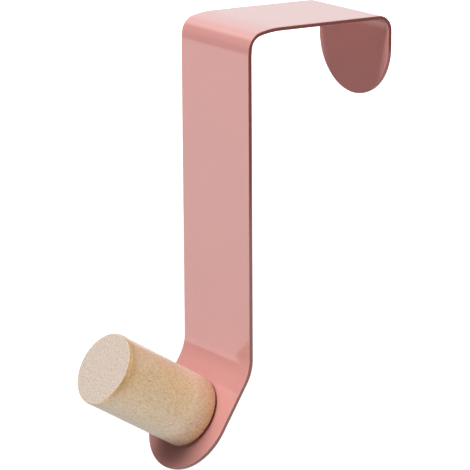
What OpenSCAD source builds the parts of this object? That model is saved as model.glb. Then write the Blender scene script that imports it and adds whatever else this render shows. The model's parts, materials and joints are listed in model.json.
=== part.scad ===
// Over-door hook: one painted steel strip, bent to hang on the top edge of a door,
// with a turned wooden peg held by a screw from behind.
//
// Frame: +Z up, +X across the strip, -Y towards the room and the peg, +Y over the door.
// The origin is on the seat, the underside of the top plate, midway across the strip
// and midway between the two faces that stand on either side of the door.

/* [Strip] */
// Width of the strip
strip_w = 30; // [20:0.5:45]
// Thickness of the strip, steel and paint together
strip_t = 1.1; // [0.8:0.1:2]
// Rounding of the strip's long edges and ends
edge_r = 0.3; // [0.1:0.05:0.39]

/* [Over the door] */
// Clear gap between the front of the hook and its lip, for the door
door_gap = 45.5; // [34:0.5:70]
// How far the top plate dips towards the lip, in degrees, so that the hook grips
grip_angle = 1.8; // [0:0.1:4]
// Inside radius of the wide bend that leads from the top plate into the front bend
ease_bend_r = 26.9; // [10:0.1:50]
// Turn of that wide bend, in degrees
ease_angle = 14; // [4:0.5:20]
// Inside radius of the front bend
front_bend_r = 3.5; // [1:0.1:8]
// Inside radius of the rear bend
rear_bend_r = 3.5; // [1:0.1:8]
// Straight part of the lip, above its round end
lip_run = 4.4; // [1:0.1:40]

/* [Front and foot] */
// Straight part of the front
front_run = 83.5; // [40:0.5:200]
// Radius of the bend into the foot, on the front face
foot_bend_r = 11; // [3:0.5:30]
// How far the foot turns forward, in degrees
foot_angle = 33; // [10:1:60]
// Straight part of the foot, above its round end
foot_run = 14.25; // [8:0.25:40]

/* [Peg] */
// Diameter of the peg
peg_d = 20; // [12:0.5:30]
// Length of the peg
peg_len = 33; // [26:0.5:60]
// Rounding of the edge at the peg's base
peg_base_r = 0.8; // [0.2:0.1:3]
// Rounding of the edge at the peg's far end
peg_end_r = 0.4; // [0.2:0.1:3]
// Middle of the peg, measured along the foot from the end of its bend
peg_along = 13; // [5:0.5:30]

/* [Screw] */
// Outside diameter of the screw's thread
screw_d = 4; // [3:0.1:5]
// Length of the screw under its head
screw_len = 20; // [12:1:24]
// Pitch of the thread
screw_pitch = 1.8; // [1:0.1:2.5]
// Depth of the thread
thread_h = 0.6; // [0.3:0.05:0.8]
// Diameter of the screw's head
head_d = 8; // [6:0.1:10]
// Height of the screw's head
head_h = 2.6; // [2:0.1:3.5]
// Across the screw head's cross recess
recess_w = 4.4; // [3:0.1:5]
// Width of a blade of the cross recess
blade_w = 0.9; // [0.5:0.1:1.2]
// Depth of the cross recess
recess_h = 1.8; // [1:0.1:1.9]
// Clearance around the screw in the strip
screw_gap = 0.25; // [0.1:0.05:0.5]
// Clearance around the screw's core in the pilot hole, which its thread bites through
pilot_gap = 0.1; // [0.05:0.05:0.25]
// Depth that the pilot hole in the peg leaves free beyond the screw's point
pilot_spare = 1.5; // [0.5:0.5:4]

/* [Hidden] */
$fn = 96;

paint = "#D89F9C";
wood = "#DBC3A6";
steel = "#B9BBBD";

// Steps of the strip's bends, in degrees, and of its round ends and rounded edges
bend_step = 4;
end_steps = 12;
edge_steps = 3;

// Turns of the front and rear bends, which bring the front and the lip upright
front_angle = 90 + grip_angle - ease_angle;
rear_angle = 90 - grip_angle;

// Radii of the bends, at the middle of the strip's thickness
ease_mid_r = ease_bend_r + strip_t / 2;
front_mid_r = front_bend_r + strip_t / 2;
rear_mid_r = rear_bend_r + strip_t / 2;
foot_mid_r = foot_bend_r + strip_t / 2;

// Flat lengths of the top plate on each side of the origin, so that the door gap comes out
ease_rise = sin(ease_angle - grip_angle);
half_gap = door_gap / 2 + strip_t / 2;
seat_shift = strip_t / 2 * sin(grip_angle);
top_front = (half_gap + seat_shift - ease_mid_r * (sin(grip_angle) + ease_rise)
    - front_mid_r * (1 - ease_rise)) / cos(grip_angle);
top_rear = (half_gap - seat_shift - rear_mid_r * (1 - sin(grip_angle))) / cos(grip_angle);

// Stretches of the strip on each side of the origin, each with its length and its turn
front_stretches = [
    [top_front, 0],
    [arc_length(ease_mid_r, ease_angle), ease_angle],
    [arc_length(front_mid_r, front_angle), front_angle],
    [front_run, 0],
    [arc_length(foot_mid_r, foot_angle), -foot_angle],
    [foot_run, 0]
];
rear_stretches = [
    [top_rear, 0],
    [arc_length(rear_mid_r, rear_angle), rear_angle],
    [lip_run, 0]
];
to_foot = length_before(front_stretches, 5);

// Screw and pilot hole
core_r = screw_d / 2 - thread_h;
rim_h = 0.3 * head_h;
neck_h = 0.8 * strip_t;
point_h = 2 * core_r;
point_blunt = 0.15;
thread_sides = 12;
rings_per_turn = 12;
pilot_r = core_r + pilot_gap;
pilot_h = screw_len - strip_t + pilot_spare;
drill_point_h = 0.6 * pilot_r;

function arc_length(r, angle) = r * angle * PI / 180;

function length_before(stretches, count, i = 0) =
    i == count ? 0 : stretches[i][0] + length_before(stretches, count, i + 1);

// Moves [out, up, heading] on by a length that turns evenly; the heading is from straight up
function step_on(place, length, turn) =
    let (h = place[2], r = turn == 0 ? 0 : length / (turn * PI / 180))
    turn == 0
        ? [place[0] + length * sin(h), place[1] + length * cos(h), h]
        : [place[0] + r * (cos(h) - cos(h + turn)), place[1] + r * (sin(h + turn) - sin(h)), h + turn];

function walk(stretches, length, place, i = 0) =
    let (whole = stretches[i][0], turn = stretches[i][1])
    length <= whole || i == len(stretches) - 1
        ? step_on(place, length, turn * length / whole)
        : walk(stretches, length - whole, step_on(place, whole, turn), i + 1);

// Where a length along the strip from the origin lies: to the front, or to the rear
function front_place(length) =
    walk(front_stretches, length, [-seat_shift, strip_t / 2 * cos(grip_angle), 90 - grip_angle]);

function rear_place(length) =
    walk(rear_stretches, length, [seat_shift, strip_t / 2 * cos(grip_angle), 90 + grip_angle]);

// Bends the flat strip: x across it, s along it from the origin towards the lip, and v out
// of its outer face from the middle of its thickness
function bent(x, s, v) =
    let (p = s < 0 ? front_place(-s) : rear_place(s), side = s < 0 ? -1 : 1)
    [x, side * (p[0] - v * cos(p[2])), p[1] + v * sin(p[2])];

// Lengths along the stretches at which the strip's outline has a point
function stations(stretches) = [
    for (i = [0 : len(stretches) - 1])
        let (steps = max(1, ceil(abs(stretches[i][1]) / bend_step)))
        for (k = [1 : steps])
            length_before(stretches, i) + stretches[i][0] * k / steps
];

// Rows across the flat strip from the foot's end to the lip's: the length along the strip of
// the row's centre, and the angle around the round end, which is 0 on the straight sides
function end_angles(side) = [for (k = [1 : end_steps]) side * 90 * (k - 0.5) / end_steps];

function reversed(list) = [for (i = [len(list) - 1 : -1 : 0]) list[i]];

rows = let (front = stations(front_stretches), rear = stations(rear_stretches))
    concat(
        [for (a = reversed(end_angles(-1))) [-front[len(front) - 1], a]],
        [for (s = reversed(front)) [-s, 0]],
        [[0, 0]],
        [for (s = rear) [s, 0]],
        [for (a = end_angles(1)) [rear[len(rear) - 1], a]]
    );

// Levels through the strip's thickness: height above its middle, and how far in the edge is
levels = let (lower = [for (k = [0 : edge_steps])
        let (a = 90 * k / edge_steps)
        [-strip_t / 2 + edge_r * (1 - cos(a)), edge_r * (1 - sin(a))]])
    concat(lower, [for (level = reversed(lower)) [-level[0], level[1]]]);

function row_point(row, level, side) =
    let (r = strip_w / 2 - level[1])
    bent(side * r * cos(row[1]), row[0] + r * sin(row[1]), level[0]);

// The bent strip without its hole: one ring of points for each level
module strip_body() {
    last = len(rows) - 1;
    ring = 2 * len(rows);
    points = [
        for (level = levels)
            for (side = [1, -1], k = [0 : last])
                row_point(rows[side > 0 ? k : last - k], level, side)
    ];
    edge_faces = [
        for (j = [0 : len(levels) - 2], k = [0 : ring - 1])
            let (next = (k + 1) % ring)
            [j * ring + k, (j + 1) * ring + k, (j + 1) * ring + next, j * ring + next]
    ];
    inner_faces = [for (k = [0 : last - 1]) [k, k + 1, ring - 2 - k, ring - 1 - k]];
    outer_ring = (len(levels) - 1) * ring;
    outer_faces = [for (face = inner_faces) [for (i = reversed(face)) outer_ring + i]];
    polyhedron(points, concat(edge_faces, inner_faces, outer_faces), convexity = 6);
}

// The middle of the peg's base on the foot's front face, with +Z along the peg
module at_peg() {
    place = front_place(to_foot + peg_along);
    translate([0, -place[0], place[1]])
        rotate([place[2] - 90, 0, 0])
            translate([0, 0, strip_t / 2])
                children();
}

// The bent strip, with its screw hole
module hook_strip() {
    color(paint)
        difference() {
            strip_body();
            at_peg()
                translate([0, 0, -2 * strip_t])
                    cylinder(h = 3 * strip_t, r = screw_d / 2 + screw_gap);
        }
}

// Half of the peg's lengthwise section, with its base on the X axis
module peg_section() {
    square([peg_d / 2 - max(peg_base_r, peg_end_r), peg_len]);
    hull() {
        translate([peg_d / 2 - peg_base_r, peg_base_r])
            circle(peg_base_r);
        translate([peg_d / 2 - peg_end_r, peg_len - peg_end_r])
            circle(peg_end_r);
        translate([peg_d / 4, 0])
            square([peg_d / 8, peg_len]);
    }
}

// The turned peg, with the pilot hole for its screw
module wooden_peg() {
    color(wood)
        at_peg()
            difference() {
                rotate_extrude()
                    peg_section();
                translate([0, 0, -1])
                    cylinder(h = pilot_h + 1, r = pilot_r);
                translate([0, 0, pilot_h])
                    cylinder(h = drill_point_h, r1 = pilot_r, r2 = 0);
            }
}

// Height of the thread's ridge around the core, from 0 to 1
function ridge(angle) = max(0, 1 - abs(angle - 180) / 90);

// Threaded shank from start to length along +Z, with its point at the far end
module threaded_shank(start, length) {
    threaded = length - start;
    rings = round(rings_per_turn * threaded / screw_pitch);
    points = [
        for (j = [0 : rings])
            let (along = threaded * j / rings,
                taper = min(1, point_blunt + (1 - point_blunt) * (threaded - along) / point_h),
                growth = min(taper, along / screw_pitch))
            for (i = [0 : thread_sides - 1])
                let (a = 360 * i / thread_sides,
                    turned = a + 360 * along / screw_pitch,
                    r = core_r * taper + thread_h * growth * ridge(a))
                [r * cos(turned), r * sin(turned), start + along]
    ];
    sides = [
        for (j = [0 : rings - 1], i = [0 : thread_sides - 1])
            let (low = j * thread_sides, high = low + thread_sides, next = (i + 1) % thread_sides)
            each [[low + i, high + i, low + next], [high + i, high + next, low + next]]
    ];
    base = [for (i = [0 : thread_sides - 1]) i];
    tip = [for (i = reversed(base)) rings * thread_sides + i];
    polyhedron(points, concat(sides, [base, tip]), convexity = 10);
}

// Pan head with a cross recess, its under side on the XY plane and its top towards -Z
module pan_head() {
    dome_h = head_h - rim_h;
    dome_r = (pow(head_d / 2, 2) + pow(dome_h, 2)) / (2 * dome_h);
    difference() {
        rotate_extrude()
            intersection() {
                translate([0, dome_r - head_h])
                    circle(dome_r);
                translate([0, -head_h])
                    square([head_d / 2, head_h]);
            }
        intersection() {
            for (turn = [0, 90])
                rotate([0, 0, turn])
                    cube([recess_w, blade_w, 3 * head_h], center = true);
            translate([0, 0, -head_h - 1])
                cylinder(h = recess_h + 1, r1 = recess_w / 2 + 1, r2 = blade_w / 2);
        }
    }
}

// The screw that holds the peg, from the back of the foot
module peg_screw() {
    color(steel)
        at_peg()
            translate([0, 0, -strip_t]) {
                pan_head();
                cylinder(h = neck_h, r = screw_d / 2);
                threaded_shank(neck_h / 2, screw_len);
            }
}

hook_strip();
wooden_peg();
peg_screw();
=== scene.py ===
"""Over-door hook: a bent strip of gloss-painted steel, a turned beech peg and its screw.

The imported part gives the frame: metres, +Z up, +X across the strip, -Y towards the room, +Y over
the door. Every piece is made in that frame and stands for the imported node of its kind.
"""

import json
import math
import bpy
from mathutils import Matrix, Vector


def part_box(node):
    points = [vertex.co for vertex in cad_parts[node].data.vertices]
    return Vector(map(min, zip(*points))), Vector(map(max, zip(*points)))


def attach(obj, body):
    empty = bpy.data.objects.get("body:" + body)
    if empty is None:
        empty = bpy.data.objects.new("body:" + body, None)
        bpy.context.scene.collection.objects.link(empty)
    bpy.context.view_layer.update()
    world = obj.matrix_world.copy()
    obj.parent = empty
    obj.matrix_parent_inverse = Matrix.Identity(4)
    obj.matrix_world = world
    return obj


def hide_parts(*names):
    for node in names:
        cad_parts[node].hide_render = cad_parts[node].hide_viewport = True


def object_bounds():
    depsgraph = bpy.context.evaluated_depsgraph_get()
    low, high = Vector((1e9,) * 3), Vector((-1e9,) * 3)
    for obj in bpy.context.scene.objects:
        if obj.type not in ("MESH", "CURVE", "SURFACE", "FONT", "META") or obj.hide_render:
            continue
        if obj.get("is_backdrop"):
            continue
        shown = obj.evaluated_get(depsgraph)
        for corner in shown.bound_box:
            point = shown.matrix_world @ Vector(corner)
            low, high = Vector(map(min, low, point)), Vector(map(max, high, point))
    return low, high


bl_info = {
    "name": "Over-Door Hook",
    "version": (1, 0, 0),
    "blender": (4, 5, 0),
    "location": "View3D > Sidebar > Hook",
    "description": "Builds an over-door hook with a wooden peg, and a plain studio around it",
    "category": "Add Mesh",
}

import bmesh
import bpy
from bpy.props import FloatProperty, FloatVectorProperty, IntProperty, PointerProperty
from mathutils import Matrix, Vector

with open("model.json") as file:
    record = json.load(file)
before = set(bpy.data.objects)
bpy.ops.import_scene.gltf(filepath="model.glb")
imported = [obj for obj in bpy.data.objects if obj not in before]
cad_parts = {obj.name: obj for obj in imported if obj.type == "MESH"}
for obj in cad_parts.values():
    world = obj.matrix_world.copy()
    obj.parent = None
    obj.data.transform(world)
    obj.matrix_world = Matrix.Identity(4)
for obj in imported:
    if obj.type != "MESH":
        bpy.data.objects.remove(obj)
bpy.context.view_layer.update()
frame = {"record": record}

MM = 0.001
# points that are closer together than this are one
SAME = 1e-7
# faces that meet at more than this angle have a sharp edge between them
SHARP_ANGLE = math.radians(40)
# the kinds of node that are used most
MATH, VECTOR_MATH, MAP_RANGE = "ShaderNodeMath", "ShaderNodeVectorMath", "ShaderNodeMapRange"
# a Mix node's inputs A and B for numbers and for colours, which have the same names
NUMBER_A, NUMBER_B, COLOUR_A, COLOUR_B = 2, 3, 6, 7
STRIP_LOW, STRIP_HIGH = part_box("hook_strip")
PEG_MOUNT = next(m for m in frame["record"]["mounts"] if m["name"] == "peg")


def linear(hex_colour):
    """Turns an sRGB hex colour, such as #D99790, into linear red, green and blue."""
    channels = [int(hex_colour[i : i + 2], 16) / 255 for i in (1, 3, 5)]
    return [c / 12.92 if c <= 0.04045 else ((c + 0.055) / 1.055) ** 2.4 for c in channels]


def length(name, description, default_mm):
    """A property for a length, with its default in millimetres."""
    return FloatProperty(
        name=name,
        description=description,
        default=default_mm * MM,
        min=0,
        subtype="DISTANCE",
        unit="LENGTH",
        precision=5,
    )


def angle(name, description, default_degrees):
    """A property for an angle, with its default in degrees."""
    return FloatProperty(
        name=name,
        description=description,
        default=math.radians(default_degrees),
        subtype="ANGLE",
        unit="ROTATION",
    )


def colour(name, description, hex_colour):
    """A property for a surface colour, kept linear."""
    return FloatVectorProperty(
        name=name,
        description=description,
        default=linear(hex_colour),
        subtype="COLOR",
        size=3,
        min=0,
        max=1,
    )


# ---------------------------------------------------------------- settings


class StripSettings(bpy.types.PropertyGroup):
    """Sizes of the bent strip, and the colour of its paint."""

    width: length("Width", "Width of the strip", (STRIP_HIGH[0] - STRIP_LOW[0]) / MM)
    thickness: length("Thickness", "Thickness of the steel with its paint", 1.1)
    edge_radius: length("Edge radius", "Rounding of the strip's edges", 0.2)
    door_gap: length("Door gap", "Clear gap between the front and the lip", 45.5)
    grip: angle("Grip", "How far the top plate dips towards the lip", 1.8)
    ease_radius: length("Ease radius", "Inside radius of the wide bend behind the front one", 26.9)
    ease_turn: angle("Ease turn", "Turn of that wide bend", 14)
    front_radius: length("Front radius", "Inside radius of the front bend", 3.5)
    lead_run: length("Lead", "Stretch under the front bend that is already a little curved", 3)
    lead_turn: angle("Lead turn", "Turn of that stretch", 6)
    rear_radius: length("Rear radius", "Inside radius of the rear bend", 3.5)
    lip_run: length("Lip", "Straight part of the lip, above its round end", 4.4)
    front_run: length("Front", "Straight part of the front", 83.5)
    foot_radius: length("Foot radius", "Radius of the foot's bend, on the front face", 11)
    foot_turn: angle("Foot turn", "How far the foot turns forward", 33)
    foot_run: length("Foot", "Straight part of the foot, above its round end", 14.25)
    hole_radius: length("Screw hole", "Radius of the screw hole in the foot", 2.25)
    paint: colour("Paint", "Colour of the paint", "#D99993")
    # painted shade: the narrow edge is painted this dark colour as its shade
    edge_shade_colour: colour("Painted edge shade", "Colour painted on the narrow edge as its shade", "#75322B")


class PegSettings(bpy.types.PropertyGroup):
    """Sizes and colours of the turned peg."""

    radius: length("Radius", "Radius of the peg", PEG_MOUNT["dims"]["r_mm"])
    height: length("Length", "Length of the peg", 33)
    base_radius: length("Base rounding", "Rounding of the edge at the peg's base", 0.2)
    gap: length("Gap", "Height of the gap under the rim of the peg's base", 0.75)
    gap_depth: length("Gap depth", "How far that gap goes in from the rim", 0.5)
    end_radius: length("End rounding", "Rounding of the edge at the peg's far end", 0.4)
    worn_width: length("Worn width", "Width of the end's edge where it is sanded off most", 0.9)
    worn_side: angle("Worn side", "Side of the peg on which it is sanded off most", -15)
    along: length("Place", "Middle of the peg along the foot, from the end of its bend", 13)
    pilot_radius: length("Pilot radius", "Radius of the pilot hole for the screw", 1.5)
    pilot_depth: length("Pilot depth", "Depth of the pilot hole", 20.4)
    side: colour("Side grain", "Colour of the wood along its grain", "#E5C499")
    side_pale: colour("Pale side grain", "Colour of its paler, pinker patches", "#E6CCAF")
    # painted light: the flank of the peg that faces down is painted this pale colour
    painted_underside_light: colour("Painted underside light", "Colour of the pale flank that faces down", "#FFE8CD")
    end: colour("End grain", "Colour of the wood across its grain", "#D6C5B6")
    fleck: colour("Flecks", "Colour of the small flecks in the wood", "#B98F62")
    # painted shade: the wood above the base's edge is painted this darker colour
    painted_base_shade: colour("Painted base shade", "Colour of the wood above its base's edge", "#B07947")
    # painted shade: the wood inside the gap under the base's rim is painted this near-black colour
    painted_gap_shade: colour("Painted gap shade", "Colour of the wood under the rim of its base", "#6E2C16")
    ridge: colour("End ridge", "Colour of the raised fibres round its far end", "#F0D8BA")
    turned: colour("Wood by the end", "Colour of the side next to its far end", "#C99C64")
    worn: colour("Worn edge", "Colour of the rounded edge round its far end", "#AA8960")
    steps: IntProperty(name="Round steps", description="Segments around the peg", default=128)


class ScrewSettings(bpy.types.PropertyGroup):
    """Sizes of the screw."""

    radius: length("Thread radius", "Outside radius of the thread", 2)
    core_radius: length("Core radius", "Radius of the core between the threads", 1.4)
    height: length("Length", "Length of the screw under its head", 20)
    pitch: length("Pitch", "Pitch of the thread", 1.8)
    point_height: length("Point", "Length of the tapered point", 2.8)
    neck_height: length("Neck", "Plain neck under the head", 0.88)
    head_radius: length("Head radius", "Radius of the pan head", 4)
    head_height: length("Head height", "Height of the pan head", 2.6)
    rim_height: length("Rim", "Height of the head's upright rim", 0.78)
    recess_width: length("Recess", "Width across the cross recess", 4.4)
    blade_width: length("Blade", "Width of a blade of the cross recess", 0.9)
    recess_depth: length("Recess depth", "Depth of the cross recess", 1.8)
    plate: colour("Plate", "Colour of the zinc plate", "#A9ABAE")
    plate_pale: colour("Pale plate", "Colour of its paler patches", "#C9CBCC")


class StageSettings(bpy.types.PropertyGroup):
    """The camera, and the table under the hook."""

    azimuth: angle("Azimuth", "Direction of the camera round the hook", 53.672)
    elevation: angle("Elevation", "Height of the camera above the horizon", 15.709)
    roll: angle("Roll", "Tilt of the camera about its own axis", -0.335)
    distance: length("Distance", "From the camera to the middle of the view", 703.897)
    lens: FloatProperty(name="Lens", description="Focal length in millimetres", default=199.445)
    table_drop: length("Table drop", "From the hook's lowest point down to the table", 60)
    table: colour("Table", "Colour of the table's top", "#A8A8A8")


class HookSettings(bpy.types.PropertyGroup):
    """All settings of the hook and its studio."""

    strip: PointerProperty(type=StripSettings)
    peg: PointerProperty(type=PegSettings)
    screw: PointerProperty(type=ScrewSettings)
    stage: PointerProperty(type=StageSettings)


# ---------------------------------------------------------------- nodes and meshes


def add_node(tree, kind, inputs=(), **settings):
    """Adds a node to a tree, with its settings. Its inputs are a list in their order, or a dict by
    name or number, of values, sockets to link, or nodes, whose first output in use is linked."""
    node = tree.nodes.new(kind)
    for name, value in settings.items():
        setattr(node, name, value)
    pairs = inputs.items() if isinstance(inputs, dict) else enumerate(inputs)
    for socket, value in pairs:
        if isinstance(value, bpy.types.Node):
            value = next(output for output in value.outputs if output.enabled)
        if isinstance(value, bpy.types.NodeSocket):
            tree.links.new(value, node.inputs[socket])
        else:
            node.inputs[socket].default_value = value
    return node


def new_mesh(name, vertices, faces):
    """A mesh with its faces turned outwards and its doubles merged."""
    mesh = bpy.data.meshes.new(name)
    mesh.from_pydata([tuple(v) for v in vertices], [], faces)
    work = bmesh.new()
    work.from_mesh(mesh)
    bmesh.ops.remove_doubles(work, verts=work.verts, dist=SAME)
    bmesh.ops.recalc_face_normals(work, faces=work.faces)
    work.to_mesh(mesh)
    work.free()
    return mesh


def new_object(data):
    """An object at the origin for a mesh or a curve, with its name."""
    obj = bpy.data.objects.new(data.name, data)
    bpy.context.collection.objects.link(obj)
    return obj


def lathe(name, profile, steps):
    """A closed turned solid about +Z from its half section, which starts and ends on the axis."""
    vertices = []
    rings = []
    for radius, height in profile:
        count = 1 if radius < SAME else steps
        rings.append([len(vertices) + i for i in range(count)])
        for i in range(count):
            turn = 2 * math.pi * i / steps
            vertices.append((radius * math.cos(turn), radius * math.sin(turn), height))
    faces = []
    for low, high in zip(rings, rings[1:]):
        for i in range(steps):
            corners = [low[i % len(low)], low[(i + 1) % len(low)]]
            corners += [high[(i + 1) % len(high)], high[i % len(high)]]
            corners = list(dict.fromkeys(corners))
            if len(corners) > 2:
                faces.append(corners)
    return new_mesh(name, vertices, faces)


def arc(centre, radius, start, end, steps):
    """Points on an arc in a plane, from one angle to another in degrees."""
    points = []
    for i in range(steps + 1):
        turn = math.radians(start + (end - start) * i / steps)
        points.append((centre[0] + radius * math.cos(turn), centre[1] + radius * math.sin(turn)))
    return points


def node_tree(name, inputs):
    """A Geometry Nodes tree for a mesh and its material, with the named inputs besides, and the
    node that gives them."""
    tree = bpy.data.node_groups.new(name, "GeometryNodeTree")
    tree.interface.new_socket("Geometry", in_out="INPUT", socket_type="NodeSocketGeometry")
    for label, kind in {**inputs, "Material": "Material"}.items():
        tree.interface.new_socket(label, in_out="INPUT", socket_type="NodeSocket" + kind)
    tree.interface.new_socket("Geometry", in_out="OUTPUT", socket_type="NodeSocketGeometry")
    start = tree.nodes.new("NodeGroupInput")
    return tree, start


def end_tree(tree, start, geometry):
    """Ends a tree in Realize Instances and Set Material."""
    real = add_node(tree, "GeometryNodeRealizeInstances", [geometry])
    inputs = {"Geometry": real, "Material": start.outputs["Material"]}
    finished = add_node(tree, "GeometryNodeSetMaterial", inputs)
    add_node(tree, "NodeGroupOutput", [finished])


def run_tree(obj, tree, values):
    """Puts a tree on an object with its inputs, and keeps the result as the object's own mesh."""
    modifier = obj.modifiers.new(tree.name, "NODES")
    modifier.node_group = tree
    sockets = {s.name: s.identifier for s in tree.interface.items_tree if s.in_out == "INPUT"}
    for label, value in values.items():
        modifier[sockets[label]] = value
    keep_result(obj)


def keep_result(obj):
    """Replaces an object's mesh by what its modifiers make of it, and removes them."""
    bpy.context.view_layer.update()
    evaluated = obj.evaluated_get(bpy.context.evaluated_depsgraph_get())
    mesh = bpy.data.meshes.new_from_object(evaluated)
    obj.modifiers.clear()
    obj.data = mesh


def cut(obj, cutter):
    """Cuts one mesh out of another."""
    modifier = obj.modifiers.new("Cut", "BOOLEAN")
    modifier.operation = "DIFFERENCE"
    modifier.solver = "EXACT"
    modifier.object = cutter
    keep_result(obj)
    bpy.data.objects.remove(cutter)


def smooth(obj):
    """Shades a mesh smooth, apart from its sharp edges."""
    obj.data.shade_smooth()
    obj.data.set_sharp_from_angle(angle=SHARP_ANGLE)


def finish_piece(obj, node):
    """The piece rides on the hook's one body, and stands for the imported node."""
    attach(obj, "root")
    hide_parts(node)


# ---------------------------------------------------------------- the strip's path


class Path:
    """The middle line of the bent strip, from the foot's tip over the door to the lip's tip."""

    STEP = math.radians(1.5)

    def __init__(self, strip):
        half = strip.thickness / 2
        ease = strip.ease_radius + half
        front = strip.front_radius + half
        rear = strip.rear_radius + half
        foot = strip.foot_radius + half
        rise = math.sin(strip.ease_turn - strip.grip)
        dip = math.sin(strip.grip)
        reach = strip.door_gap / 2 + half
        # the flat lengths of the top plate before and behind the middle of the door gap
        top_front = reach + half * dip - ease * (dip + rise) - front * (1 - rise)
        top_front /= math.cos(strip.grip)
        top_rear = (reach - half * dip - rear * (1 - dip)) / math.cos(strip.grip)
        front_turn = math.pi / 2 + strip.grip - strip.ease_turn
        rear_turn = math.pi / 2 - strip.grip
        tip = strip.width / 2
        self.stretches = [
            (tip, 0),
            (strip.foot_run, 0),
            (foot * strip.foot_turn, -strip.foot_turn),
            (strip.front_run - strip.lead_run + front * math.sin(strip.lead_turn), 0),
            (strip.lead_run, strip.lead_turn),
            (front * (front_turn - strip.lead_turn), front_turn - strip.lead_turn),
            (ease * strip.ease_turn, strip.ease_turn),
            (top_front + top_rear, 0),
            (rear * rear_turn, rear_turn),
            (strip.lip_run, 0),
            (tip, 0),
        ]
        self.start = Vector((0, 0, 0))
        self.heading = strip.foot_turn
        # seven stretches lead up to the top plate
        before_seat = sum(run for run, turn in self.stretches[:7]) + top_front
        seat = self.at(before_seat)[0]
        self.start = Vector((0, half * dip, half * math.cos(strip.grip))) - seat

    def at(self, along):
        """The place, heading and outward directions of the strip at a length along it."""
        place = self.start.copy()
        turned = self.heading
        for run, turn in self.stretches:
            part = min(max(along, 0), run)
            heading = turned
            if turn:
                radius = run / turn
                turned += turn * part / run
                place.y += radius * (math.cos(heading) - math.cos(turned))
                place.z += radius * (math.sin(turned) - math.sin(heading))
            else:
                place.y += part * math.sin(heading)
                place.z += part * math.cos(heading)
            along -= part
            if along <= 0:
                break
        ahead = Vector((0, math.sin(turned), math.cos(turned)))
        outward = Vector((0, -math.cos(turned), math.sin(turned)))
        return place, ahead, outward

    def stations(self, margin):
        """Lengths at which the strip has a row: close together in the bends, with one more row
        a margin outside each bend, so that the flat faces stay flat in their shading."""
        found = []
        here = 0
        for run, turn in self.stretches[1:-1]:
            begin = here + self.stretches[0][0]
            count = max(1, math.ceil(abs(turn) / self.STEP))
            found += [begin + run * i / count for i in range(count + 1)]
            if turn:
                found += [begin - margin, begin + run + margin]
            here += run
        merged = []
        for value in sorted(found):
            if not merged or value - merged[-1] > SAME:
                merged.append(value)
        return merged


# ---------------------------------------------------------------- materials


def new_material(name):
    """A material whose node tree is empty, and that tree."""
    material = bpy.data.materials.new(name)
    material.use_nodes = True
    material.node_tree.nodes.clear()
    return material, material.node_tree


def finish_material(tree, shader):
    """Links a shader to a new output."""
    add_node(tree, "ShaderNodeOutputMaterial", {"Surface": shader})


def gloss_paint(strip):
    """Stoved gloss enamel on pressed steel: an even, slightly wavy film that mirrors softly. Its
    narrow edge is painted darker as painted shade, and inside the lip it is painted paler as
    painted light, and made duller."""
    material, tree = new_material("gloss_stoved_enamel")
    where = add_node(tree, "ShaderNodeTexCoord").outputs["Object"]
    place = add_node(tree, "ShaderNodeSeparateXYZ", [where])
    normal = add_node(tree, "ShaderNodeNewGeometry").outputs["Normal"]
    faces = add_node(tree, "ShaderNodeSeparateXYZ", [normal])
    # cloudy differences in the film, about 12 mm across, and orange peel: low waves about 2.5 mm
    # apart, and finer ones of 0.6 mm
    cloud, waves, fine = (
        add_node(tree, "ShaderNodeTexNoise", {"Vector": where, "Scale": 1 / size, "Detail": detail})
        for size, detail in ((12 * MM, 3.0), (2.5 * MM, 1.0), (0.6 * MM, 2.0))
    )
    paint = Vector(strip.paint)
    inputs = {"Factor": cloud, COLOUR_A: (*(paint * 0.975), 1), COLOUR_B: (*(paint * 1.025), 1)}
    tint = add_node(tree, "ShaderNodeMix", inputs, data_type="RGBA")
    # painted shade: the narrow edge is painted darker, and less so where it faces up, as painted
    # light from above
    shade_by_facing = add_node(tree, MAP_RANGE, [faces.outputs["Z"], 0.05, 0.45, 0.85, 0.15])
    rim = add_node(tree, "ShaderNodeAttribute", attribute_name="rim").outputs["Fac"]
    edge_shade_share = add_node(tree, MATH, [rim, shade_by_facing], operation="MULTIPLY")
    inputs = {"Factor": edge_shade_share, COLOUR_A: tint, COLOUR_B: (*strip.edge_shade_colour, 1)}
    tint = add_node(tree, "ShaderNodeMix", inputs, data_type="RGBA")
    # inside the lip, which starts in the rear bend, the paint is painted paler as painted light,
    # and made duller
    lip = strip.door_gap / 2
    limits = [place.outputs["Y"], lip - 1.75 * MM, lip - 0.15 * MM]
    beyond = add_node(tree, MAP_RANGE, limits)
    inward = add_node(tree, MATH, [faces.outputs["Y"], -1.0], operation="MULTIPLY")
    inside = add_node(tree, MATH, [beyond, inward], operation="MULTIPLY", use_clamp=True)
    # painted light: the paint inside the lip is made up to 1.3 times as bright
    paler = add_node(tree, MATH, [inside, 0.3, 1.0], operation="MULTIPLY_ADD")
    tint = add_node(tree, VECTOR_MATH, {0: tint, "Scale": paler}, operation="SCALE")
    rough = add_node(tree, MAP_RANGE, {"Value": cloud, "To Min": 0.07, "To Max": 0.12})
    duller = add_node(tree, MATH, [inside, 0.4, rough], operation="MULTIPLY_ADD")
    height = add_node(tree, MATH, [fine, 0.12, waves], operation="MULTIPLY_ADD")
    inputs = {"Height": height, "Strength": 0.25, "Distance": 0.02 * MM}
    bump = add_node(tree, "ShaderNodeBump", inputs)
    inputs = {"Base Color": tint, "Roughness": duller, "IOR": 1.65, "Normal": bump}
    finish_material(tree, add_node(tree, "ShaderNodeBsdfPrincipled", inputs))
    return material


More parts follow.
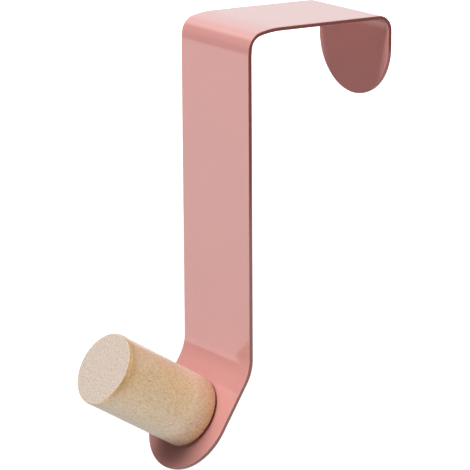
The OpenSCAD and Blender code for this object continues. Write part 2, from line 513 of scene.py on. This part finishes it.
def wood_patterns(tree, grain):
    """The patterns of a wood whose grain runs along Z: fibres a little under 0.5 mm across and
    three times as long, sanded grain of about 0.5 mm, patches of tone about 9 mm across, and
    rays, as cells 0.75 mm across and twice as long."""
    patterns = []
    for kind, size, stretch, detail in (
        ("ShaderNodeTexNoise", 0.45 * MM, 3, 2.0),
        ("ShaderNodeTexNoise", 0.55 * MM, 1, 3.0),
        ("ShaderNodeTexNoise", 9 * MM, 2, 1.0),
        ("ShaderNodeTexVoronoi", 0.75 * MM, 2, 0.0),
    ):
        inputs = [grain, (1, 1, 1 / stretch)]
        space = add_node(tree, VECTOR_MATH, inputs, operation="MULTIPLY")
        inputs = {"Vector": space, "Scale": 1 / size, "Detail": detail, "Roughness": 0.6}
        patterns.append(add_node(tree, kind, inputs))
    return patterns


def beech(peg, to_peg):
    """Fine-sanded beech without varnish: pale and dull, with short fibres along the grain, small
    darker flecks, soft patches of tone, and a faint fuzz that pales it at a flat angle. Turning has
    closed and browned the wood by the end's edge. Painted shade darkens it above the base's edge
    and in the gap under its rim, and painted light pales the flank that faces down."""
    material, tree = new_material("fine_sanded_beech")
    where = add_node(tree, "ShaderNodeTexCoord").outputs["Object"]
    # the pattern's own axes: Z along the grain, from the middle of the peg's base
    turned = to_peg.inverted()
    inputs = [where, turned.to_translation(), turned.to_euler()]
    grain = add_node(tree, "ShaderNodeMapping", inputs)
    own = add_node(tree, "ShaderNodeSeparateXYZ", [grain])
    along = own.outputs["Z"]

    fibres, sanded, clouds, cells = wood_patterns(tree, grain)
    patches = add_node(tree, MAP_RANGE, [clouds, 0.35, 0.65])
    flecks = add_node(tree, MAP_RANGE, [cells, 0.1, 0.36, 0.35, 0.0])

    # the far end faces along Z in the peg's own axes
    normal = add_node(tree, "ShaderNodeNewGeometry").outputs["Normal"]
    axis = to_peg.to_3x3() @ Vector((0, 0, 1))
    facing = add_node(tree, VECTOR_MATH, [normal, axis], operation="DOT_PRODUCT")
    # the end's edge is sanded and handled on one side of the peg; on the other side the end
    # grain's colour runs on round the edge
    handled = add_node(tree, MAP_RANGE, [own.outputs["X"], -6 * MM, 1 * MM, 0.1, 1.0])
    steep = add_node(tree, MATH, [facing], operation="ABSOLUTE")
    steep = add_node(tree, MATH, [handled, -0.6, steep], operation="MULTIPLY_ADD")
    ends = add_node(tree, MAP_RANGE, [steep, 0.24, 0.35])

    # the brown by the end's edge, and the painted shade above the base's edge, wander with the
    # sanded grain
    wander = add_node(tree, MATH, [sanded, 1.2 * MM, along], operation="MULTIPLY_ADD")
    limits = [wander, peg.height - 3.2 * MM, peg.height - 0.4 * MM, 0.0, 0.65]
    near_end = add_node(tree, MAP_RANGE, limits)
    near_base = add_node(tree, MAP_RANGE, [wander, 0.8 * MM, 9.0 * MM, 0.8, 0.0])
    # painted shade: the wood inside the gap under the base's rim is painted near black
    in_gap = add_node(tree, MAP_RANGE, [along, peg.gap + 0.1 * MM, peg.gap])
    # the flank that faces down is painted paler, as painted light from below, and the worn edge
    # fades out on it
    down = add_node(tree, MATH, [patches, 2 * MM, own.outputs["Y"]], operation="MULTIPLY_ADD")
    flank = add_node(tree, MAP_RANGE, [down, -1 * MM, -9 * MM])
    fade = add_node(tree, MAP_RANGE, [down, -3 * MM, -9 * MM, 0.9, 0.15])
    rounded = add_node(tree, MAP_RANGE, [facing, 0.3, 0.6])
    # raised fibres stand round the end's edge, where it starts to turn over
    ridge = add_node(tree, MAP_RANGE, [facing, 0.9995, 0.98, 0.0, 0.8])

    # each colour is laid over the ones before it, by the product of the shares named with it
    # three of these colours are painted light and shade: the pale flank that faces down, and the
    # darker wood above the base and in the gap under its rim
    wood = (*peg.side, 1)
    for tone, share, *others in (
        (peg.side_pale, patches),
        (peg.turned, near_end, handled),
        (peg.painted_underside_light, flank),
        (peg.painted_base_shade, near_base),
        (peg.painted_gap_shade, in_gap),
        (peg.worn, rounded, fade, handled),
        (peg.end, ends),
        (peg.ridge, ridge, handled, ends),
        (peg.fleck, flecks),
    ):
        for other in others:
            share = add_node(tree, MATH, [share, other], operation="MULTIPLY")
        inputs = {"Factor": share, COLOUR_A: wood, COLOUR_B: (*tone, 1)}
        wood = add_node(tree, "ShaderNodeMix", inputs, data_type="RGBA")
    # a darker grain is browner too, so it deepens the colour and not only the light
    shade = add_node(tree, MATH, [fibres, 0.20, 0.60], operation="MULTIPLY_ADD")
    shade = add_node(tree, MATH, [sanded, 0.60, shade], operation="MULTIPLY_ADD")
    wood = add_node(tree, VECTOR_MATH, {0: wood, "Scale": shade}, operation="SCALE")
    deeper = add_node(tree, MATH, [shade, -1.0, 2.0], operation="MULTIPLY_ADD")
    wood = add_node(tree, "ShaderNodeGamma", [wood, deeper])
    height = add_node(tree, MATH, [sanded, 0.6, fibres], operation="MULTIPLY_ADD")
    inputs = {"Height": height, "Strength": 0.3, "Distance": 0.04 * MM}
    bump = add_node(tree, "ShaderNodeBump", inputs)
    inputs = {
        "Base Color": wood,
        "Roughness": 0.42,
        "IOR": 1.5,
        "Sheen Weight": 0.2,
        "Sheen Roughness": 0.4,
        "Normal": bump,
    }
    finish_material(tree, add_node(tree, "ShaderNodeBsdfPrincipled", inputs))
    return material


def zinc_plate(screw):
    """Zinc plate on a rolled steel screw: a bright grey metal with faint cloudy patches."""
    material, tree = new_material("bright_zinc_plate")
    where = add_node(tree, "ShaderNodeTexCoord").outputs["Object"]
    # clouds in the plate, about 1.2 mm across
    inputs = {"Vector": where, "Scale": 1 / (1.2 * MM), "Detail": 4.0}
    patches = add_node(tree, "ShaderNodeTexNoise", inputs)
    plate, pale = (*screw.plate, 1), (*screw.plate_pale, 1)
    inputs = {"Factor": patches, COLOUR_A: plate, COLOUR_B: pale}
    tint = add_node(tree, "ShaderNodeMix", inputs, data_type="RGBA")
    inputs = {"Value": patches, "To Min": 0.24, "To Max": 0.40}
    rough = add_node(tree, MAP_RANGE, inputs)
    inputs = {"Height": patches, "Strength": 0.2, "Distance": 0.01 * MM}
    bump = add_node(tree, "ShaderNodeBump", inputs)
    inputs = {"Base Color": tint, "Metallic": 1.0, "Roughness": rough, "Normal": bump}
    finish_material(tree, add_node(tree, "ShaderNodeBsdfPrincipled", inputs))
    return material


# ---------------------------------------------------------------- the pieces


class HOOK_OT_bent_strip(bpy.types.Operator):
    """Cuts the strip flat, with round ends and a screw hole, and bends it along its middle line"""

    bl_idname = "hook.bent_strip"
    bl_label = "Bent Strip"

    END_STEPS = 24
    EDGE_STEPS = 5
    HOLE_STEPS = 64
    # from a bend or a rounded edge to the next row, which keeps the flat face flat in its shading
    MARGIN = 0.25 * MM
    # the deburred edge of the screw hole
    FLARE = 0.2 * MM

    def levels(self, strip):
        """Heights through the thickness, with how far in the outline is at each."""
        half = strip.thickness / 2
        radius = strip.edge_radius
        lower = [(-half, radius + self.MARGIN)]
        for out, up in arc((0, 0), radius, -90, 0, self.EDGE_STEPS):
            lower.append((up + radius - half, radius - out))
        return lower + [(-height, inset) for height, inset in reversed(lower)]

    def flat_strip(self, strip, path):
        """The flat strip: X across, Y along from the foot's tip, Z out of its front face."""
        stations = path.stations(self.MARGIN)
        ends = [math.radians(90 * (k + 0.5) / self.END_STEPS) for k in range(self.END_STEPS)]
        rows = [(stations[0], -turn) for turn in reversed(ends)]
        rows += [(station, 0) for station in stations]
        rows += [(stations[-1], turn) for turn in ends]
        vertices = []
        for height, inset in self.levels(strip):
            reach = strip.width / 2 - inset
            for side, order in ((1, rows), (-1, rows[::-1])):
                for along, turn in order:
                    across = side * reach * math.cos(turn)
                    vertices.append((across, along + reach * math.sin(turn), height))
        ring = 2 * len(rows)
        count = len(vertices) // ring
        faces = []
        for j in range(count - 1):
            for k in range(ring):
                low, high = j * ring, (j + 1) * ring
                following = (k + 1) % ring
                faces.append((low + k, high + k, high + following, low + following))
        for k in range(len(rows) - 1):
            across = (k, k + 1, ring - 2 - k, ring - 1 - k)
            faces.append(across)
            faces.append(tuple((count - 1) * ring + i for i in reversed(across)))
        return new_object(new_mesh("hook_strip_painted", vertices, faces))

    def punch(self, strip, along):
        """The punch for the screw hole, flared at both faces as a deburred hole is."""
        half = strip.thickness / 2
        radius = strip.hole_radius
        above = (radius + 2 * self.FLARE, half + self.FLARE)
        upper = [(radius, half - self.FLARE), (radius + self.FLARE, half), above, (0, above[1])]
        profile = [(out, -height) for out, height in reversed(upper)] + upper
        mesh = lathe("punch", profile, self.HOLE_STEPS)
        mesh.transform(Matrix.Translation((0, along, 0)))
        return new_object(mesh)

    def centreline(self, path):
        """The middle line of the bent strip as a curve."""
        whole = sum(run for run, turn in path.stretches)
        points = [path.at(s)[0] for s in [0, *path.stations(self.MARGIN), whole]]
        curve = bpy.data.curves.new("centreline", "CURVE")
        curve.dimensions = "3D"
        spline = curve.splines.new("POLY")
        spline.points.add(len(points) - 1)
        for point, place in zip(spline.points, points):
            point.co = (*place, 1)
        return new_object(curve)

    def bending_tree(self):
        """Moves the flat strip onto its middle line: Y becomes the length along the line, X stays
        across it, and Z stands out from it. The strip's narrow edge is marked as its rim."""
        inputs = {"Middle Line": "Object", "Rim Start": "Float", "Rim End": "Float"}
        tree, start = node_tree("Bend Along Line", inputs)
        flat = add_node(tree, "GeometryNodeInputPosition")
        parts = add_node(tree, "ShaderNodeSeparateXYZ", [flat])
        line = add_node(tree, "GeometryNodeObjectInfo", {"Object": start.outputs["Middle Line"]})
        inputs = {"Curves": line.outputs["Geometry"], "Length": parts.outputs["Y"]}
        sample = add_node(tree, "GeometryNodeSampleCurve", inputs, mode="LENGTH")
        inputs = [(1, 0, 0), sample.outputs["Tangent"]]
        outward = add_node(tree, VECTOR_MATH, inputs, operation="CROSS_PRODUCT")
        outward = add_node(tree, VECTOR_MATH, [outward], operation="NORMALIZE")
        inputs = {0: outward, "Scale": parts.outputs["Z"]}
        raised = add_node(tree, VECTOR_MATH, inputs, operation="SCALE")
        across = add_node(tree, "ShaderNodeCombineXYZ", {"X": parts.outputs["X"]})
        inputs = [sample.outputs["Position"], across]
        on_line = add_node(tree, VECTOR_MATH, inputs, operation="ADD")
        placed = add_node(tree, VECTOR_MATH, [on_line, raised], operation="ADD")
        height = add_node(tree, MATH, [parts.outputs["Z"]], operation="ABSOLUTE")
        limits = [height, start.outputs["Rim Start"], start.outputs["Rim End"], 1.0, 0.0]
        rim = add_node(tree, MAP_RANGE, limits)
        inputs = {"Geometry": start.outputs["Geometry"], "Name": "rim", "Value": rim}
        marked = add_node(
            tree, "GeometryNodeStoreNamedAttribute", inputs, data_type="FLOAT", domain="POINT"
        )
        inputs = {"Geometry": marked, "Position": placed}
        bent = add_node(tree, "GeometryNodeSetPosition", inputs)
        end_tree(tree, start, bent)
        return tree

    def execute(self, context):
        settings = context.scene.hook
        strip = settings.strip
        path = Path(strip)
        obj = self.flat_strip(strip, path)
        cut(obj, self.punch(strip, peg_along_path(settings)))
        line = self.centreline(path)
        # the painted shade of the narrow edge ends on its rounding, just short of the flat face
        values = {
            "Middle Line": line,
            "Rim Start": strip.thickness / 2 - strip.edge_radius / 8,
            "Rim End": strip.thickness / 2 - strip.edge_radius / 80,
            "Material": gloss_paint(strip),
        }
        run_tree(obj, self.bending_tree(), values)
        bpy.data.objects.remove(line)
        smooth(obj)
        finish_piece(obj, "hook_strip")
        return {"FINISHED"}


def peg_along_path(settings):
    """Where the peg's axis crosses the strip, as a length from the foot's tip."""
    strip = settings.strip
    return strip.width / 2 + strip.foot_run - settings.peg.along


def peg_place(settings):
    """Turns the peg's own axes, with Z along it from the middle of its base, into the frame's."""
    strip = settings.strip
    place, ahead, outward = Path(strip).at(peg_along_path(settings))
    base = place + outward * strip.thickness / 2
    across = Vector((1, 0, 0))
    turned = Matrix((across, outward.cross(across), outward)).transposed().to_4x4()
    return Matrix.Translation(base) @ turned


class HOOK_OT_wooden_peg(bpy.types.Operator):
    """Turns the wooden peg, with rounded edges and a pilot hole in its base"""

    bl_idname = "hook.wooden_peg"
    bl_label = "Wooden Peg"

    # from a rounded edge to the next ring, which keeps the straight side straight in its shading
    MARGIN = 0.2 * MM
    BASE_STEPS = 6
    END_STEPS = 8
    # rings on the far end and a lower one on the side, for the sanded edge to bend at
    RING = 0.1 * MM
    RINGS = 7
    SHOULDER = 0.8 * MM
    # how steeply the edge is sanded off, and the height over which that sets in on the side
    SLOPE = 0.75
    ONSET = 0.5 * MM
    # the chamfer of the pilot hole, and the depth of its drill point as a share of its radius
    CHAMFER = 0.1 * MM
    DRILL_POINT = 0.6

    def section(self, peg):
        """Half of the lengthwise section, from the bottom of the pilot hole to the far end."""
        low, high = peg.base_radius, peg.end_radius
        pilot, rim = peg.pilot_radius, peg.radius - peg.gap_depth
        points = [(0, peg.pilot_depth + self.DRILL_POINT * pilot), (pilot, peg.pilot_depth)]
        points += [(pilot, self.CHAMFER), (pilot + self.CHAMFER, 0), (rim, 0), (rim, peg.gap)]
        points += [(peg.radius - low - self.MARGIN / 2, peg.gap)]
        points += arc((peg.radius - low, peg.gap + low), low, -90, 0, self.BASE_STEPS)
        points += [(peg.radius, peg.gap + low + self.MARGIN)]
        for below in (self.SHOULDER, self.MARGIN):
            points.append((peg.radius, peg.height - high - below))
        points += arc((peg.radius - high, peg.height - high), high, 0, 90, self.END_STEPS)
        for i in range(self.RINGS):
            points.append((peg.radius - high - (i + 1) * self.RING, peg.height))
        return points + [(0, peg.height)]

    def wear(self, mesh, peg):
        """Sands off the end's edge a little more on one side, as by hand."""
        onset = peg.height - peg.end_radius - self.ONSET
        for vertex in mesh.vertices:
            x, y, z = vertex.co
            lean = max(0, math.cos(math.atan2(y, x) - peg.worn_side))
            inset = math.hypot(x, y) - peg.radius + peg.worn_width * lean
            share = min(1, max(0, (z - onset) / self.ONSET))
            if inset > 0:
                vertex.co.z = z - self.SLOPE * inset * share

    def execute(self, context):
        settings = context.scene.hook
        peg = settings.peg
        mesh = lathe("wooden_peg_turned", self.section(peg), peg.steps)
        self.wear(mesh, peg)
        place = peg_place(settings)
        mesh.transform(place)
        obj = new_object(mesh)
        mesh.materials.append(beech(peg, place))
        smooth(obj)
        finish_piece(obj, "wooden_peg")
        return {"FINISHED"}


class HOOK_OT_peg_screw(bpy.types.Operator):
    """Makes the pan-head wood screw, rolls its thread and sinks its cross recess"""

    bl_idname = "hook.peg_screw"
    bl_label = "Peg Screw"

    STEPS = 36
    DOME_STEPS = 12
    # the broken edge under the head's rim, and the fillet between the head and the neck
    EDGE = 0.1 * MM
    FILLET = 0.15 * MM
    # radius of the point's blunt tip, as a share of the core's
    BLUNT = 0.12
    # how far the driver that sinks the recess stands out of the head
    ABOVE = 0.5 * MM

    def blank(self, screw):
        """The screw before its thread: head towards -Z, neck, plain core and point."""
        dome = screw.head_height - screw.rim_height
        radius = (screw.head_radius**2 + dome**2) / (2 * dome)
        half_angle = math.degrees(math.asin(screw.head_radius / radius))
        centre = (0, radius - screw.head_height)
        points = arc(centre, radius, -90, half_angle - 90, self.DOME_STEPS)
        points[0] = (0, -screw.head_height)
        points += [(screw.head_radius, -self.EDGE), (screw.head_radius - self.EDGE, 0)]
        points += [(screw.radius + self.FILLET, 0), (screw.radius, self.FILLET)]
        points += [(screw.radius, screw.neck_height), (screw.core_radius, screw.neck_height)]
        threaded = screw.height - screw.neck_height
        count = round(threaded / screw.pitch * self.STEPS)
        for i in range(1, count + 1):
            z = screw.neck_height + threaded * i / count
            left = (screw.height - z) / screw.point_height
            taper = min(1, self.BLUNT + (1 - self.BLUNT) * left)
            points.append((screw.core_radius * taper, z))
        points.append((0, screw.height))
        return new_object(lathe("peg_screw_plated", points, self.STEPS))

    def thread_tree(self):
        """Rolls a thread onto the part of a turned blank past Start: each point is turned about Z
        with its height, and pushed out where it lies on the ridge."""
        inputs = dict.fromkeys(("Start", "Core Radius", "Depth", "Pitch"), "Float")
        tree, start = node_tree("Roll Thread", inputs)
        value = start.outputs
        place = add_node(tree, "GeometryNodeInputPosition")
        parts = add_node(tree, "ShaderNodeSeparateXYZ", [place])
        x, y, z = (parts.outputs[axis] for axis in "XYZ")
        along = add_node(tree, MATH, [z, value["Start"]], operation="SUBTRACT")
        turns = add_node(tree, MATH, [along, value["Pitch"]], operation="DIVIDE")
        own_angle = add_node(tree, MATH, [y, x], operation="ARCTAN2")
        square = add_node(tree, MATH, [y, y], operation="MULTIPLY")
        square = add_node(tree, MATH, [x, x, square], operation="MULTIPLY_ADD")
        radius = add_node(tree, MATH, [square], operation="SQRT")
        # the ridge stands where a point's own angle is near 180 degrees, a quarter turn each way
        size = add_node(tree, MATH, [own_angle], operation="ABSOLUTE")
        off_ridge = add_node(tree, MATH, [math.pi, size], operation="SUBTRACT")
        share = add_node(tree, MATH, [off_ridge, math.pi / 2], operation="DIVIDE")
        ridge = add_node(tree, MATH, [1, share], operation="SUBTRACT", use_clamp=True)
        # it grows over the first turn, and tapers with the point
        core = value["Core Radius"]
        taper = add_node(tree, MATH, [radius, core], operation="DIVIDE")
        growth = add_node(tree, MATH, [taper, turns], operation="MINIMUM")
        raised = add_node(tree, MATH, [ridge, value["Depth"]], operation="MULTIPLY")
        raised = add_node(tree, MATH, [raised, growth], operation="MULTIPLY")
        outer = add_node(tree, MATH, [radius, raised], operation="ADD")
        inputs = [turns, 2 * math.pi, own_angle]
        turned = add_node(tree, MATH, inputs, operation="MULTIPLY_ADD")
        rolled = []
        for part in ("COSINE", "SINE"):
            share = add_node(tree, MATH, [turned], operation=part)
            rolled.append(add_node(tree, MATH, [outer, share], operation="MULTIPLY"))
        rolled = add_node(tree, "ShaderNodeCombineXYZ", [*rolled, z])
        threaded = add_node(tree, MATH, [along, SAME], operation="GREATER_THAN")
        inputs = {"Geometry": value["Geometry"], "Selection": threaded, "Position": rolled}
        moved = add_node(tree, "GeometryNodeSetPosition", inputs)
        end_tree(tree, start, moved)
        return tree

    def driver(self, screw):
        """The shape of the cross recess: four blades that narrow towards its square bottom."""
        half = screw.blade_width / 2
        corners = []
        for z, reach in (
            (-screw.head_height - self.ABOVE, screw.recess_width / 2 + self.ABOVE),
            (screw.recess_depth - screw.head_height, half),
        ):
            for turn in range(4):
                quarter = Matrix.Rotation(turn * math.pi / 2, 3, "Z")
                for x, y in ((reach, -half), (reach, half), (half, half)):
                    corners.append(quarter @ Vector((x, y, z)))
        # two rings of corners, which close at the top and at the square bottom
        count = len(corners) // 2
        faces = [tuple(range(count)), tuple(range(count, 2 * count))]
        for i in range(count):
            following = (i + 1) % count
            faces.append((i, following, count + following, count + i))
        return new_object(new_mesh("driver", corners, faces))

    def execute(self, context):
        settings = context.scene.hook
        screw = settings.screw
        obj = self.blank(screw)
        values = {
            "Start": screw.neck_height,
            "Core Radius": screw.core_radius,
            "Depth": screw.radius - screw.core_radius,
            "Pitch": screw.pitch,
            "Material": zinc_plate(screw),
        }
        run_tree(obj, self.thread_tree(), values)
        cut(obj, self.driver(screw))
        back = Matrix.Translation((0, 0, -settings.strip.thickness))
        obj.data.transform(peg_place(settings) @ back)
        smooth(obj)
        finish_piece(obj, "peg_screw")
        return {"FINISHED"}


# ---------------------------------------------------------------- the studio


class HOOK_OT_studio(bpy.types.Operator):
    """Sets up the pale table, the soft lamps, the white surroundings and the camera"""

    bl_idname = "hook.studio"
    bl_label = "Studio"

    # the point that the lamps face, and how far across and up from it the middle of the view is
    TARGET = Vector((0, -3.85, -48.992)) * MM
    SHIFT = Vector((-11.027, -10.012)) * MM
    SENSOR_WIDTH = 36
    CLIP_NEAR, CLIP_FAR = 0.01, 50
    # azimuth and elevation in degrees, size in metres and power in watts of each lamp
    LAMPS = {
        "key": (1.5, 47, 0.4, 10.2),
        "side": (100, 1, 0.5, 5.8),
        "fill": (225, -3, 0.5, 7.5),
    }
    LAMP_DISTANCE = 1.0
    # the table's corners, in metres
    TABLE = ((-1.6, -0.75), (0.42, -0.75), (0.42, 2.5), (-1.6, 2.5))
    # the table's own glow: the distances at which it starts and ends to grow, in metres from
    # under the hook, and its strength at each
    TABLE_GLOW = (0.15, 0.45, 0.8, 1.0)
    # what the paint mirrors: the sines of the heights at which a brightness starts and ends to
    # change, and its strength at each
    BACKDROP = (0.15, 0.5, 1.25, 1.65)
    ROOM = (0.42, 0.61, 0.1, 2.5)
    CEILING = (0.74, 0.84, 0.0, 1.8)
    # cosines of the angles from the middle of the backdrop between which it gives way to the room
    BACKDROP_EDGE = (0.63, 0.66)
    # the light that the room throws on the hook, beside the lamps'
    AMBIENT = 0.03

    def towards(self, azimuth, elevation):
        """The direction from the hook towards an azimuth and an elevation."""
        level = Vector((math.sin(azimuth), -math.cos(azimuth), 0)) * math.cos(elevation)
        return level + Vector((0, 0, math.sin(elevation)))

    def camera(self, stage):
        """A camera on the given side of the hook, at the given height and distance."""
        azimuth, elevation = stage.azimuth, stage.elevation
        ahead = -self.towards(azimuth, elevation)
        right = Vector((math.cos(azimuth), math.sin(azimuth), 0))
        up = right.cross(ahead)
        roll = stage.roll
        right, up = (
            right * math.cos(roll) + up * math.sin(roll),
            up * math.cos(roll) - right * math.sin(roll),
        )
        data = bpy.data.cameras.new("camera")
        data.lens = stage.lens
        data.sensor_width = self.SENSOR_WIDTH
        data.clip_start = self.CLIP_NEAR
        data.clip_end = self.CLIP_FAR
        camera = bpy.data.objects.new("camera", data)
        place = self.TARGET + right * self.SHIFT.x + up * self.SHIFT.y - ahead * stage.distance
        turned = Matrix((right, up, -ahead)).transposed().to_4x4()
        camera.matrix_world = Matrix.Translation(place) @ turned
        bpy.context.collection.objects.link(camera)
        bpy.context.scene.camera = camera

    def lamp(self, name, azimuth, elevation, size, power):
        """A square soft lamp that faces the hook from an azimuth and an elevation in degrees. The
        paint doesn't mirror it, because the room already gives it what it mirrors."""
        data = bpy.data.lights.new(name, "AREA")
        data.shape = "SQUARE"
        data.size = size
        data.energy = power
        lamp = bpy.data.objects.new(name, data)
        towards = self.towards(math.radians(azimuth), math.radians(elevation))
        lamp.location = self.TARGET + towards * self.LAMP_DISTANCE
        lamp.rotation_euler = (-towards).to_track_quat("-Z", "Y").to_euler()
        lamp.visible_camera = False
        lamp.visible_glossy = False
        bpy.context.collection.objects.link(lamp)

    def seen(self, tree, *more):
        """One for a ray from the camera or through glass, or of the further kinds that are named,
        and zero for any other."""
        path = add_node(tree, "ShaderNodeLightPath")
        share = path.outputs["Is Camera Ray"]
        for kind in (*more, "Is Transmission Ray"):
            rays = [share, path.outputs[kind]]
            share = add_node(tree, MATH, rays, operation="MAXIMUM")
        return share

    def table(self, stage):
        """A pale matt table top under the hook, whose front edge lies before the hook's front."""
        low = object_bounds()[0][2] - stage.table_drop
        corners = [(x, y, low) for x, y in self.TABLE]
        obj = new_object(new_mesh("table", corners, [(0, 1, 2, 3)]))
        # white laminate with a matt face: it shows no mirror image, and keeps the hook's shadow
        material, tree = new_material("matt_white_laminate")
        matt = add_node(tree, "ShaderNodeBsdfDiffuse", {"Color": (*stage.table, 1)})
        # it grows as white as the backdrop with the distance from the hook
        where = add_node(tree, "ShaderNodeTexCoord").outputs["Object"]
        reach = add_node(tree, VECTOR_MATH, [where, (0, 0, low)], operation="DISTANCE")
        glow = add_node(tree, MAP_RANGE, [reach, *self.TABLE_GLOW])
        strength = add_node(
            tree, MATH, [self.seen(tree, "Is Glossy Ray"), glow], operation="MULTIPLY"
        )
        lift = add_node(tree, "ShaderNodeEmission", {"Color": (1, 1, 1, 1), "Strength": strength})
        finish_material(tree, add_node(tree, "ShaderNodeAddShader", [matt, lift]))
        obj.data.materials.append(material)
        obj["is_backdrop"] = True

    def world(self, stage):
        """A dim room with a white backdrop behind the hook and a white ceiling, which the paint
        mirrors; the camera sees white all round."""
        world = bpy.data.worlds.new("studio")
        bpy.context.scene.world = world
        world.use_nodes = True
        tree = world.node_tree
        tree.nodes.clear()
        direction = add_node(tree, "ShaderNodeTexCoord").outputs["Generated"]
        level = add_node(tree, VECTOR_MATH, [direction, (1, 1, 0)], operation="MULTIPLY")
        level = add_node(tree, VECTOR_MATH, [level], operation="NORMALIZE")
        away = (-math.sin(stage.azimuth), math.cos(stage.azimuth), 0)
        facing = add_node(tree, VECTOR_MATH, [level, away], operation="DOT_PRODUCT")
        height = add_node(tree, "ShaderNodeSeparateXYZ", [direction]).outputs["Z"]
        bright = add_node(tree, MAP_RANGE, [height, *self.BACKDROP])
        room = add_node(tree, MAP_RANGE, [height, *self.ROOM])
        inputs = [facing, *self.BACKDROP_EDGE, room, bright]
        smoothly = {"interpolation_type": "SMOOTHSTEP"}
        backdrop = add_node(tree, MAP_RANGE, inputs, **smoothly)
        ceiling = add_node(tree, MAP_RANGE, [height, *self.CEILING], **smoothly)
        mirrored = add_node(tree, MATH, [backdrop, ceiling], operation="MAXIMUM")
        glossy = add_node(tree, "ShaderNodeLightPath").outputs["Is Glossy Ray"]
        inputs = {"Factor": glossy, NUMBER_A: self.AMBIENT, NUMBER_B: mirrored}
        strength = add_node(tree, "ShaderNodeMix", inputs, data_type="FLOAT")
        inputs = {"Factor": self.seen(tree), NUMBER_A: strength, NUMBER_B: 1.0}
        strength = add_node(tree, "ShaderNodeMix", inputs, data_type="FLOAT")
        inputs = {"Color": (1, 1, 1, 1), "Strength": strength}
        sky = add_node(tree, "ShaderNodeBackground", inputs)
        add_node(tree, "ShaderNodeOutputWorld", {"Surface": sky})

    def execute(self, context):
        stage = context.scene.hook.stage
        self.camera(stage)
        self.table(stage)
        self.world(stage)
        for name, values in self.LAMPS.items():
            self.lamp(name, *values)
        context.scene.view_settings.view_transform = "Standard"
        return {"FINISHED"}


class HOOK_PT_parts(bpy.types.Panel):
    """The hook's pieces and their sizes"""

    bl_idname = "HOOK_PT_parts"
    bl_label = "Over-Door Hook"
    bl_space_type = "VIEW_3D"
    bl_region_type = "UI"
    bl_category = "Hook"

    def draw(self, context):
        settings = context.scene.hook
        for operator, group in (
            (HOOK_OT_bent_strip, settings.strip),
            (HOOK_OT_wooden_peg, settings.peg),
            (HOOK_OT_peg_screw, settings.screw),
            (HOOK_OT_studio, settings.stage),
        ):
            box = self.layout.box()
            box.operator(operator.bl_idname)
            for name in group.__annotations__:
                box.prop(group, name)


CLASSES = (
    StripSettings,
    PegSettings,
    ScrewSettings,
    StageSettings,
    HookSettings,
    HOOK_OT_bent_strip,
    HOOK_OT_wooden_peg,
    HOOK_OT_peg_screw,
    HOOK_OT_studio,
    HOOK_PT_parts,
)


def register():
    for cls in CLASSES:
        bpy.utils.register_class(cls)
    bpy.types.Scene.hook = PointerProperty(type=HookSettings)


def unregister():
    del bpy.types.Scene.hook
    for cls in reversed(CLASSES):
        bpy.utils.unregister_class(cls)


def main():
    """Registers the add-on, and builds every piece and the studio."""
    register()
    bpy.ops.hook.bent_strip()
    bpy.ops.hook.wooden_peg()
    bpy.ops.hook.peg_screw()
    bpy.ops.hook.studio()


if __name__ == "__main__":
    main()
